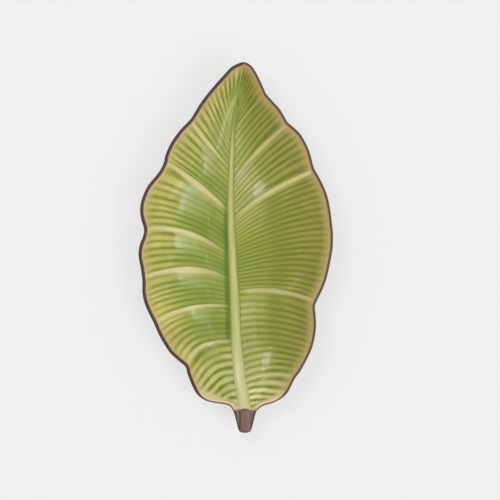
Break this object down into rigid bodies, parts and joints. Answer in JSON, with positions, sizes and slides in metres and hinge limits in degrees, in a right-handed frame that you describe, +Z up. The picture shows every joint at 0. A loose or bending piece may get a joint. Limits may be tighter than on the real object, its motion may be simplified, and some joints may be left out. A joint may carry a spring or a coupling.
{
  "type": "leaf shaped plate",
  "caption": "Shallow glazed stoneware dish shaped as a leaf, with raised veins, a brown rim, a short stem and a foot ring, for serving food.",
  "frame": {"origin": "on the table, under the middle of the plate's bounding box", "axes": "+X to the right and +Y along the leaf to its tip, seen from above as in the picture; +Z up from the table"},
  "size_m": [0.147, 0.28, 0.032],
  "materials": {
    "fired_clay": "bare fired stoneware under its coats",
    "stem_clay": "fired clay washed with brown oxide, matt",
    "bare_clay": "bare fired clay, matt",
    "green_glaze": "glossy green glaze, paler on the ribs and deeper in the grooves",
    "pale_glaze": "glossy pale yellow-green glaze",
    "brown_rim": "dark brown satin glaze",
    "brown_underside": "brown satin glaze"
  },
  "bodies": {
    "root": {"leaf_body": "fired_clay", "midrib": "fired_clay", "stem": "stem_clay", "foot_ring": "bare_clay", "face_glaze": "green_glaze", "midrib_glaze": "pale_glaze", "rim_coat": "brown_rim", "underside_coat": "brown_underside"}
  },
  "joints": []
}
